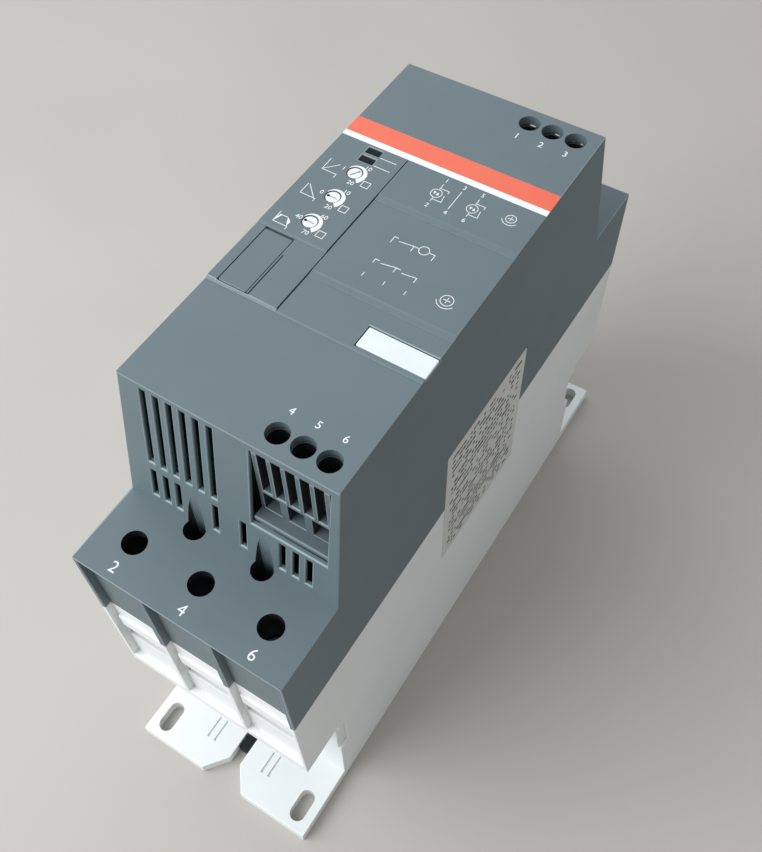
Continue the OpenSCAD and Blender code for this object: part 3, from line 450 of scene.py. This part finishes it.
def rounded(name, body, finish, nodes, inner=None, edge_highlight=None):
    """Piece from copies of CAD nodes with its convex edges rounded, the roundings in edge_highlight,
    a paler finish as painted highlight, if it is given.

    Edges for which the function inner is true stay sharp.
    """
    joined = bmesh.new()
    joined.edges.layers.float.new(BEVEL_LAYER)
    for node in nodes:
        bm = bmesh.new()
        bm.from_mesh(frame["nodes"][node].data)
        weigh(bm, inner)
        mesh = bpy.data.meshes.new("part")
        bm.to_mesh(mesh)
        bm.free()
        joined.from_mesh(mesh)
        bpy.data.meshes.remove(mesh)
    volume = joined.calc_volume()
    piece = keep(joined, name, body, finish)
    bevel = piece.modifiers.new("rounding", "BEVEL")
    bevel.width = bpy.context.scene.softstarter_edges.outer
    bevel.segments = 2
    bevel.limit_method = "WEIGHT"
    bevel.use_clamp_overlap = False
    # the rounded faces take the paler finish: painted highlight along the edges
    if edge_highlight:
        bevel.material = extra(piece, edge_highlight)
    bake(piece)
    clamp(piece.data, [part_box(node) for node in nodes])
    check = bmesh.new()
    check.from_mesh(piece.data)
    if abs(check.calc_volume() / volume - 1) > VOLUME_CHANGE:
        raise RuntimeError(name + ": the rounding changed the volume")
    check.free()
    shade(piece.data)
    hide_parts(*nodes)
    return piece


# Print helpers

# Height of a capital as a share of the font's size, and the least cosine at which a corner is mitred
CAPITAL = 0.69
MITRE = 0.4


def plate(bm, outline, z, ink):
    """Adds a thin printed plate with an outline in mm, on a surface at a height in mm."""
    turn = sum(a[0] * b[1] - b[0] * a[1] for a, b in zip(outline, outline[1:] + outline[:1]))
    ring = outline if turn > 0 else outline[::-1]
    low = [bm.verts.new((x * MM, y * MM, z * MM)) for x, y in ring]
    high = [bm.verts.new((x * MM, y * MM, z * MM + ink)) for x, y in ring]
    bm.faces.new(low[::-1])
    bm.faces.new(high)
    for i in range(len(ring)):
        bm.faces.new((low[i - 1], low[i], high[i], high[i - 1]))


def stroke(points, width, closed=False):
    """Outlines of a line of some width through points, one for each stretch, with mitred corners."""
    count = len(points)
    sides = []
    for i in range(count):
        here = Vector(points[i])
        before = Vector(points[i - 1]) if closed or i > 0 else None
        after = Vector(points[(i + 1) % count]) if closed or i < count - 1 else None
        come = (here - before).normalized() if before is not None else (after - here).normalized()
        go = (after - here).normalized() if after is not None else come
        middle = (come + go).normalized()
        across = Vector((-middle.y, middle.x)) * (width / 2 / max(MITRE, middle.dot(come)))
        sides.append((here + across, here - across))
    ahead = sides[1:] + sides[:1] if closed else sides[1:]
    return [(left, right, far_right, far_left)
            for (left, right), (far_left, far_right) in zip(sides, ahead)]


def polar(centre, radius, angle):
    """Point at a radius and at an angle in degrees from a centre."""
    turn = math.radians(angle)
    return centre[0] + radius * math.cos(turn), centre[1] + radius * math.sin(turn)


def arc(centre, radius, start, end, steps=24):
    """Points along an arc between two angles in degrees."""
    return [polar(centre, radius, start + (end - start) * i / steps) for i in range(steps + 1)]


def shifted(points, centre):
    """Points moved by the place of a centre."""
    return [(x + centre[0], y + centre[1]) for x, y in points]


def numeral(bm, text, x, y, z, height, ink):
    """Adds a plain numeral, centred on a place in mm."""
    curve = bpy.data.curves.new("numeral", "FONT")
    curve.body = text
    curve.size = height / CAPITAL
    curve.align_x = "CENTER"
    curve.align_y = "CENTER"
    curve.extrude = ink / 2
    curve.resolution_u = 3
    holder = bpy.data.objects.new("numeral", curve)
    bpy.context.scene.collection.objects.link(holder)
    view = bpy.context.evaluated_depsgraph_get()
    mesh = bpy.data.meshes.new_from_object(holder.evaluated_get(view))
    mesh.transform(Matrix.Translation((x * MM, y * MM, z * MM + ink / 2)))
    bm.from_mesh(mesh)
    bpy.data.objects.remove(holder)
    bpy.data.curves.remove(curve)
    bpy.data.meshes.remove(mesh)


# Pieces

class SOFTSTARTER_OT_base(bpy.types.Operator):
    """Light grey base with its two terminal housings as one moulding"""
    bl_idname = "softstarter.base"
    bl_label = "Base moulding"

    def execute(self, context):
        low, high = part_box("load_housing")

        def joint(edge):
            on_wall = all(abs(abs(v.co.y) - abs(high.y)) < 10 * WELD for v in edge.verts)
            return on_wall and max(v.co.z for v in edge.verts) > low.z + 10 * WELD

        rounded("base_moulding", "root", "base_plastic",
                ("base_housing", "load_housing", "line_housing"), joint)
        return {"FINISHED"}


class SOFTSTARTER_OT_cover(bpy.types.Operator):
    """Dark cover, with painted shade in black inside under its key holes; its top lies low by an
    ink's height
    """
    bl_idname = "softstarter.cover"
    bl_label = "Cover moulding"

    def execute(self, context):
        ink = context.scene.softstarter_print.ink
        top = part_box("front_cover")[1].z
        # the cover's rounded edges get the paler finish as painted highlight
        piece = rounded("cover_moulding", "root", "cover_plastic", ("front_cover",),
                        edge_highlight="cover_edge_highlight")
        for vertex in piece.data.vertices:
            if vertex.co.z > top - ink:
                vertex.co.z = top - ink
        shade(piece.data)
        # painted shade: faces of the chambers under the shelves and of the bores under the key holes
        # turn black
        black = extra(piece, "black_plastic")
        for face in piece.data.polygons:
            x, y, z = (abs(c) / MM for c in face.center)
            under = INSIDE_Y[0] < y < INSIDE_Y[1] and z < SHELF_Z - UNDER_SHELF
            to_key = min(math.hypot(x - key_x, y - KEY_Y) for key_x in (0, KEY_X))
            bore = to_key < SLEEVE_R and abs(face.normal.z) < BESIDE
            if x < INSIDE_X and z > INSIDE_Z and (under or bore):
                face.material_index = black
        return {"FINISHED"}


class SOFTSTARTER_OT_small(bpy.types.Operator):
    """Lid, marker tag and knobs with softened edges, and dark pointer dots"""
    bl_idname = "softstarter.small"
    bl_label = "Small mouldings"

    def execute(self, context):
        finishes = {"port_lid": "cover_plastic", "marker_tag": "tag_plastic",
                    "knob_1": "knob_plastic", "knob_2": "knob_plastic", "knob_3": "knob_plastic"}
        bodies = frame["record"]["behaviour"]["bodies"]
        for node, finish in finishes.items():
            body = next(b for b, members in bodies.items() if node in members)
            piece = rounded(node + "_piece", body, finish, (node,))
            if node in ("knob_2", "knob_3"):
                self.darken_dot(piece, *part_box(node))
        return {"FINISHED"}

    @staticmethod
    def darken_dot(piece, low, high):
        """Gives the faces of a knob's pointer dot a black finish."""
        dot_x, dot_y = (low.x + high.x) / 2 - DOT_OFF * MM, (low.y + high.y) / 2
        black = extra(piece, "black_plastic")
        for face in piece.data.polygons:
            away = math.hypot(face.center.x - dot_x, face.center.y - dot_y) / MM
            depth = (high.z - face.center.z) / MM
            if away < DOT_R and DOT_DEPTH[0] < depth < DOT_DEPTH[1]:
                face.material_index = black


class SOFTSTARTER_OT_blocks(bpy.types.Operator):
    """Control terminal blocks: grey frames with ribs, the gaps and funnels behind them painted black
    as shade
    """
    bl_idname = "softstarter.blocks"
    bl_label = "Control blocks"

    def execute(self, context):
        for node in ("control_block_load", "control_block_line"):
            low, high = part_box(node)
            # the blocks' rounded edges get the paler finish as painted highlight
            piece = rounded(node + "_piece", "root", "terminal_plastic", (node,),
                            edge_highlight="terminal_edge_highlight")
            # painted shade: faces deep behind the ribs turn black
            black = extra(piece, "black_plastic")
            outward = -1 if low.y < 0 else 1
            back = min(abs(low.y), abs(high.y))
            rib = max(f.center.y * outward for f in piece.data.polygons
                      if f.normal.y * outward > FACING and f.center.z > high.z - RIB_BAND * MM)
            for face in piece.data.polygons:
                middle = face.center
                depth = rib - middle.y * outward
                skin = min(middle.x - low.x, high.x - middle.x, middle.z - low.z, high.z - middle.z,
                           middle.y * outward - back)
                gap = middle.z > (low.z + high.z) / 2 or face.normal.z < GAP_FACE
                deep = depth > FUNNEL_DEPTH * MM or gap and depth > GAP_DEPTH * MM
                if skin > SKIN * MM and deep:
                    face.material_index = black
        return {"FINISHED"}


# Printed legend, in mm

# Each dial: its numerals, their offsets from the knob, the angles and the step in degrees of its
# scale, the scale's inner radius, its outer radius at both ends, and the corners of its unit box
# from the knob
DIAL_TEXTS = (("1", "10", "20"), ("0", "10", "20"), ("40", "60", "70"))
DIAL_OFFSETS = ((-3.7, 0.0), (2.5, 3.35), (1.2, -4.1))
DIAL_ARC = (158, -56, 6)
DIAL_R = 2.5
DIAL_ENDS = (2.65, 4.25)
UNIT_BOX = ((4.2, -3.8), (6.5, -3.8), (6.5, -1.5), (4.2, -1.5))

# Ramps of start, stop and first voltage, and the lines beside the indicator windows
RAMP_LINES = (
    ((-30.1, 21.3), (-30.1, 16.4), (-25.2, 16.4), (-25.2, 14.9)),
    ((-30.1, 16.4), (-26.3, 20.4)),
    ((-29.9, 9.5), (-29.9, 5.2), (-24.9, 5.2), (-24.9, 4.0)),
    ((-29.4, 9.4), (-25.5, 5.4)),
    ((-30.1, -3.6), (-30.1, -7.8), (-25.3, -7.8), (-25.3, -8.9)),
    ((-28.9, -4.8), (-27.0, -4.7)),
    ((-18.0, 28.6), (-12.6, 28.6)),
    ((-18.0, 24.9), (-12.6, 24.9)),
)
RAMP_WEDGES = (
    ((-29.9, -7.4), (-28.9, -4.65), (-29.5, -4.65), (-30.1, -6.4)),
    ((-27.1, -4.6), (-25.5, -5.8), (-25.6, -7.8), (-26.3, -6.4)),
)

# Symbols of the two switched phases about their centres, the line of the middle one straight
# through, and the numerals over and under all three
PHASE_CENTRES = ((3.1, 24.5), (14.7, 24.3))
PHASE_R = 1.65
PHASE_WEDGES = (
    ((-1.0, 0.5), (-0.1, 0.5), (-0.55, -0.6)),
    ((0.1, -0.5), (1.0, -0.5), (0.55, 0.6)),
)
PHASE_LINES = (
    ((0.0, 4.2), (0.0, PHASE_R)),
    ((0.0, -PHASE_R), (0.0, -3.5)),
    ((0.0, 2.3), (2.9, 2.3), (2.9, 1.3)),
    ((2.5, 0.2), (2.9, -2.5), (0.0, -2.5)),
)
MIDDLE_PHASE = ((9.0, 28.6), (9.0, 20.8))
PHASE_NUMERALS = (
    ("1", 3.2, 30.3), ("3", 9.0, 30.3), ("5", 14.8, 30.3),
    ("2", 3.1, 19.2), ("4", 9.0, 19.2), ("6", 14.8, 19.2),
)

# Screw heads that show the tightening of the power and of the control clamps: centre and radius of
# each, the half length of the cross as a share of the radius, and the distance, the angles in degrees
# and the steps of the arc outside the head
POWER_HEAD = ((25.7, 26.3), 1.5)
CONTROL_HEAD = ((25.4, -7.9), 1.8)
HEAD_CROSS = 0.6
TURN_OUT = 1.0
TURN_ARC = (200, 330, 12)

# Start input, the relay contacts and the ticks under them, and the ring of the start input's lamp
CONTROL_LINES = (
    ((1.9, 2.1), (1.9, 4.5), (3.2, 4.5)),
    ((3.9, 3.6), (8.3, 4.1), (9.9, 4.1)),
    ((8.3, 4.0), (8.3, 2.1)),
    ((12.9, 4.1), (14.8, 4.1), (14.8, 1.9)),
    ((1.8, -6.6), (1.8, -5.1), (3.1, -5.1)),
    ((3.8, -5.8), (8.0, -5.0), (9.6, -5.0)),
    ((8.3, -5.1), (8.3, -6.8)),
    ((10.4, -5.9), (14.8, -5.4), (14.8, -7.1)),
    ((1.8, -10.6), (1.8, -12.0)),
    ((8.3, -10.6), (8.3, -12.0)),
    ((14.8, -10.6), (14.8, -12.0)),
)
LAMP_RING = ((11.4, 4.1), 1.5)

# Angle in degrees of a ring's last point before it closes
RING_END = 345

# Numerals at the terminals: place of the first control numeral and the step to the next, the rows of
# both control blocks, and the places and the rows of the power numerals on the shelves
CONTROL_X = (11.0, 7.8)
CONTROL_Y = (57.2, -57.0)
POWER_X = (-23.0, 0.4, 23.4)
POWER_ROWS = ((("2", "4", "6"), -99.2), (("1", "3", "5"), 99.2))


class SOFTSTARTER_OT_legend(bpy.types.Operator):
    """White print: dial scales, numerals and simple line symbols"""
    bl_idname = "softstarter.legend"
    bl_label = "Printed legend"

    def execute(self, context):
        print_ = context.scene.softstarter_print
        ink, line = print_.ink, print_.line / MM
        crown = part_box("front_cover")[1].z / MM
        top, mid, low = crown - ink / MM, crown - MID_DROP, crown - LOW_DROP
        bm = bmesh.new()

        def draw(z, points, closed=False):
            for outline in stroke(points, line, closed):
                plate(bm, outline, z, ink)

        def ring(z, centre, radius):
            draw(z, arc(centre, radius, 0, RING_END), closed=True)

        # dial scales that widen clockwise, with their numerals and unit boxes
        start, end, step = DIAL_ARC
        widen = (DIAL_ENDS[1] - DIAL_ENDS[0]) / (start - end)
        outer = [(a, DIAL_ENDS[0] + widen * (start - a)) for a in range(start, end - 1, -step)]
        for y, texts in zip(KNOB_Y, DIAL_TEXTS):
            knob = (KNOB_X, y)
            for (a, a_r), (b, b_r) in zip(outer, outer[1:]):
                corners = ((a, DIAL_R), (b, DIAL_R), (b, b_r), (a, a_r))
                plate(bm, [polar(knob, radius, angle) for angle, radius in corners], top, ink)
            for text, (dx, dy) in zip(texts, DIAL_OFFSETS):
                numeral(bm, text, KNOB_X + dx, y + dy, top, print_.numeral, ink)
            draw(top, shifted(UNIT_BOX, knob), closed=True)
        # symbols on the top field
        for points in RAMP_LINES:
            draw(top, points)
        for outline in RAMP_WEDGES:
            plate(bm, outline, top, ink)
        for centre in PHASE_CENTRES:
            ring(top, centre, PHASE_R)
            for outline in PHASE_WEDGES:
                plate(bm, shifted(outline, centre), top, ink)
            for points in PHASE_LINES:
                draw(top, shifted(points, centre))
        draw(top, MIDDLE_PHASE)
        for text, x, y in PHASE_NUMERALS:
            numeral(bm, text, x, y, top, print_.numeral, ink)
        # screw heads on both fields
        for z, (centre, radius) in ((top, POWER_HEAD), (mid, CONTROL_HEAD)):
            arm = HEAD_CROSS * radius
            ring(z, centre, radius)
            draw(z, shifted(((-arm, 0), (arm, 0)), centre))
            draw(z, shifted(((0, -arm), (0, arm)), centre))
            draw(z, arc(centre, radius + TURN_OUT, *TURN_ARC))
        # symbols on the middle field
        for points in CONTROL_LINES:
            draw(mid, points)
        ring(mid, *LAMP_RING)
        # numerals at the terminals
        for first, y, z in ((1, CONTROL_Y[0], top), (4, CONTROL_Y[1], low)):
            for k in range(3):
                x = CONTROL_X[0] + CONTROL_X[1] * k
                numeral(bm, str(first + k), x, y, z, print_.control, ink)
        for texts, y in POWER_ROWS:
            for text, x in zip(texts, POWER_X):
                numeral(bm, text, x, y, SHELF_Z, print_.terminal, ink)
        keep(bm, "printed_legend", "root", "white_film")
        return {"FINISHED"}


# Dashes: the seeds that leave some out and vary the rest, and the least share of a dash's size.
# The random value's result is taken by number because its other types use the same name.
FILL_SEED = 3
SIZE_SEED = 5
LEAST_DASH = (1, 0.35, 0.55)
RANDOM_BOOLEAN = 3


def dashed_rows():
    """Geometry Nodes group that lays rows of dashes of varied length, with some left out."""
    tree = bpy.data.node_groups.new("dashed_rows", "GeometryNodeTree")
    for name, kind in (("Rows", "Int"), ("Dashes", "Int"), ("Filled", "Float"), ("Height", "Float"),
                       ("Length", "Float"), ("Centre", "Vector"), ("Dash", "Vector"),
                       ("Ink", "Material")):
        tree.interface.new_socket(name, in_out="INPUT", socket_type="NodeSocket" + kind)
    tree.interface.new_socket("Geometry", in_out="OUTPUT", socket_type="NodeSocketGeometry")
    given = add(tree, "NodeGroupInput").outputs
    grid = add(tree, "GeometryNodeMeshGrid",
               {"Size X": given["Height"], "Size Y": given["Length"],
                "Vertices X": given["Rows"], "Vertices Y": given["Dashes"]})
    flat = add(tree, "ShaderNodeSeparateXYZ", {0: add(tree, "GeometryNodeInputPosition").outputs[0]})
    upright = add(tree, "ShaderNodeCombineXYZ", {"Y": flat.outputs["Y"], "Z": flat.outputs["X"]})
    placed = add(tree, "ShaderNodeVectorMath", {0: upright.outputs[0], 1: given["Centre"]},
                 operation="ADD")
    points = add(tree, "GeometryNodeSetPosition",
                 {"Geometry": grid.outputs[0], "Position": placed.outputs[0]})
    some = add(tree, "FunctionNodeRandomValue",
               {"Probability": given["Filled"], "Seed": FILL_SEED}, data_type="BOOLEAN")
    size = add(tree, "FunctionNodeRandomValue",
               {"Min": LEAST_DASH, "Max": (1, 1, 1), "Seed": SIZE_SEED}, data_type="FLOAT_VECTOR")
    dash = add(tree, "GeometryNodeMeshCube", {"Size": given["Dash"]})
    laid = add(tree, "GeometryNodeInstanceOnPoints",
               {"Points": points.outputs[0], "Selection": some.outputs[RANDOM_BOOLEAN],
                "Instance": dash.outputs[0], "Scale": size.outputs[0]})
    solid = add(tree, "GeometryNodeRealizeInstances", {"Geometry": laid.outputs[0]})
    inked = add(tree, "GeometryNodeSetMaterial",
                {"Geometry": solid.outputs[0], "Material": given["Ink"]})
    add(tree, "NodeGroupOutput", {"Geometry": inked.outputs[0]})
    return tree


class SOFTSTARTER_OT_label(bpy.types.Operator):
    """Silver rating label with rounded corners and rows of plain dashes"""
    bl_idname = "softstarter.label"
    bl_label = "Rating label"

    def execute(self, context):
        label = context.scene.softstarter_label
        ink = context.scene.softstarter_print.ink
        low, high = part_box("rating_label")
        middle = (low + high) / 2
        face = high.x - ink
        bm = bmesh.new()
        outline = []
        for y, z, start in ((high.y, high.z, 0), (low.y, high.z, 90),
                            (low.y, low.z, 180), (high.y, low.z, 270)):
            centre = (y - math.copysign(label.corner, y - middle.y),
                      z - math.copysign(label.corner, z - middle.z))
            outline += arc(centre, label.corner, start, start + 90, 6)
        sheet = bm.faces.new([bm.verts.new((face, y, z)) for y, z in outline])
        made = bmesh.ops.extrude_face_region(bm, geom=[sheet])["geom"]
        bmesh.ops.translate(bm, verts=[v for v in made if isinstance(v, bmesh.types.BMVert)],
                            vec=(low.x - face, 0, 0))
        bmesh.ops.recalc_face_normals(bm, faces=bm.faces)
        sheet_piece = keep(bm, "rating_sheet", "root", "label_film")
        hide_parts("rating_label")

        rules = keep(bmesh.new(), "rating_dashes", "root", "label_ink")
        lines = rules.modifiers.new("rows", "NODES")
        lines.node_group = dashed_rows()
        values = {"Rows": label.rows, "Dashes": label.dashes, "Filled": label.filled,
                  "Height": high.z - low.z - 2 * label.margin,
                  "Length": high.y - low.y - 2 * label.margin,
                  "Centre": (high.x - ink / 2, middle.y, middle.z),
                  "Dash": (ink, *label.dash), "Ink": material("label_ink")}
        for item in lines.node_group.interface.items_tree:
            if item.in_out == "INPUT":
                lines[item.identifier] = values[item.name]
        bake(rules)
        return {"FINISHED"}


class SOFTSTARTER_OT_finishes(bpy.types.Operator):
    """Finishes of the CAD nodes that stay in view"""
    bl_idname = "softstarter.finishes"
    bl_label = "Finishes"

    def execute(self, context):
        for part in frame["record"]["subparts"]:
            mesh = frame["nodes"][part["node"]].data
            mesh.materials.clear()
            mesh.materials.append(material(part["material_slot"]))
        return {"FINISHED"}


# Stage

# Tones of the lamps and of the room, the place in m that the lamps aim at, and the near limit in m
# of the camera
LAMP_TONE = "#f6faff"
ROOM_TONE = "#f2f5fa"
LAMP_AIM = (0, 0, 0.1)
NEAR_LIMIT = 0.01


class SOFTSTARTER_OT_stage(bpy.types.Operator):
    """Pale floor, soft light and the camera"""
    bl_idname = "softstarter.stage"
    bl_label = "Stage"

    def execute(self, context):
        scene, stage = context.scene, context.scene.softstarter_stage
        half = stage.floor / 2
        mesh = bpy.data.meshes.new("floor")
        mesh.from_pydata([(-half, -half, 0), (half, -half, 0), (half, half, 0), (-half, half, 0)],
                         [], [(0, 1, 2, 3)])
        mesh.materials.append(material("table_top"))
        floor = bpy.data.objects.new("floor", mesh)
        scene.collection.objects.link(floor)

        for name, power, place in (("key", stage.key, stage.key_place),
                                   ("back", stage.back, stage.back_place)):
            light = bpy.data.lights.new(name, "AREA")
            light.energy = power
            light.size = stage.key_size
            light.color = linear(LAMP_TONE)[:3]
            lamp = bpy.data.objects.new(name, light)
            lamp.location = place
            aim = Vector(LAMP_AIM) - lamp.location
            lamp.rotation_euler = aim.to_track_quat("-Z", "Y").to_euler()
            scene.collection.objects.link(lamp)
        world = bpy.data.worlds.new("soft_room")
        world.use_nodes = True
        world.node_tree.nodes["Background"].inputs["Color"].default_value = linear(ROOM_TONE)
        world.node_tree.nodes["Background"].inputs["Strength"].default_value = stage.ambient
        scene.world = world

        lens = bpy.data.cameras.new("camera")
        lens.lens = stage.lens
        lens.shift_x, lens.shift_y = stage.shift
        lens.clip_start = NEAR_LIMIT
        camera = bpy.data.objects.new("camera", lens)
        back = -Vector(stage.forward).normalized()
        right = Vector(stage.up).cross(back).normalized()
        turn = Matrix((right, back.cross(right), back)).transposed()
        camera.matrix_world = Matrix.Translation(stage.eye) @ turn.to_4x4()
        scene.collection.objects.link(camera)
        scene.camera = camera
        scene.view_settings.view_transform = "Standard"
        return {"FINISHED"}


# Add-on

class SOFTSTARTER_PT_panel(bpy.types.Panel):
    """Settings and steps in the sidebar"""
    bl_idname = "SOFTSTARTER_PT_panel"
    bl_label = "Soft starter"
    bl_space_type = "VIEW_3D"
    bl_region_type = "UI"
    bl_category = "Soft starter"

    def draw(self, context):
        for group in GROUPS:
            box = self.layout.box()
            settings = getattr(context.scene, group)
            for name in settings.bl_rna.properties.keys():
                if name not in ("rna_type", "name"):
                    box.prop(settings, name)
        for operator in OPERATORS:
            self.layout.operator(operator.bl_idname)


GROUPS = {
    "softstarter_edges": SOFTSTARTER_PG_edges,
    "softstarter_print": SOFTSTARTER_PG_print,
    "softstarter_label": SOFTSTARTER_PG_label,
    "softstarter_stage": SOFTSTARTER_PG_stage,
}
OPERATORS = (SOFTSTARTER_OT_stage, SOFTSTARTER_OT_finishes, SOFTSTARTER_OT_base,
             SOFTSTARTER_OT_cover, SOFTSTARTER_OT_small, SOFTSTARTER_OT_blocks,
             SOFTSTARTER_OT_legend, SOFTSTARTER_OT_label)


def register():
    """Registers the settings, the steps and the panel."""
    for group, kind in GROUPS.items():
        bpy.utils.register_class(kind)
        setattr(bpy.types.Scene, group, PointerProperty(type=kind))
    for operator in OPERATORS:
        bpy.utils.register_class(operator)
    bpy.utils.register_class(SOFTSTARTER_PT_panel)


def unregister():
    """Takes back what register did, in reverse order."""
    bpy.utils.unregister_class(SOFTSTARTER_PT_panel)
    for operator in reversed(OPERATORS):
        bpy.utils.unregister_class(operator)
    for group, kind in reversed(GROUPS.items()):
        delattr(bpy.types.Scene, group)
        bpy.utils.unregister_class(kind)


def main():
    """Registers the add-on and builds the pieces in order."""
    register()
    bpy.ops.softstarter.stage()
    bpy.ops.softstarter.finishes()
    bpy.ops.softstarter.base()
    bpy.ops.softstarter.cover()
    bpy.ops.softstarter.small()
    bpy.ops.softstarter.blocks()
    bpy.ops.softstarter.legend()
    bpy.ops.softstarter.label()


if __name__ == "__main__":
    main()
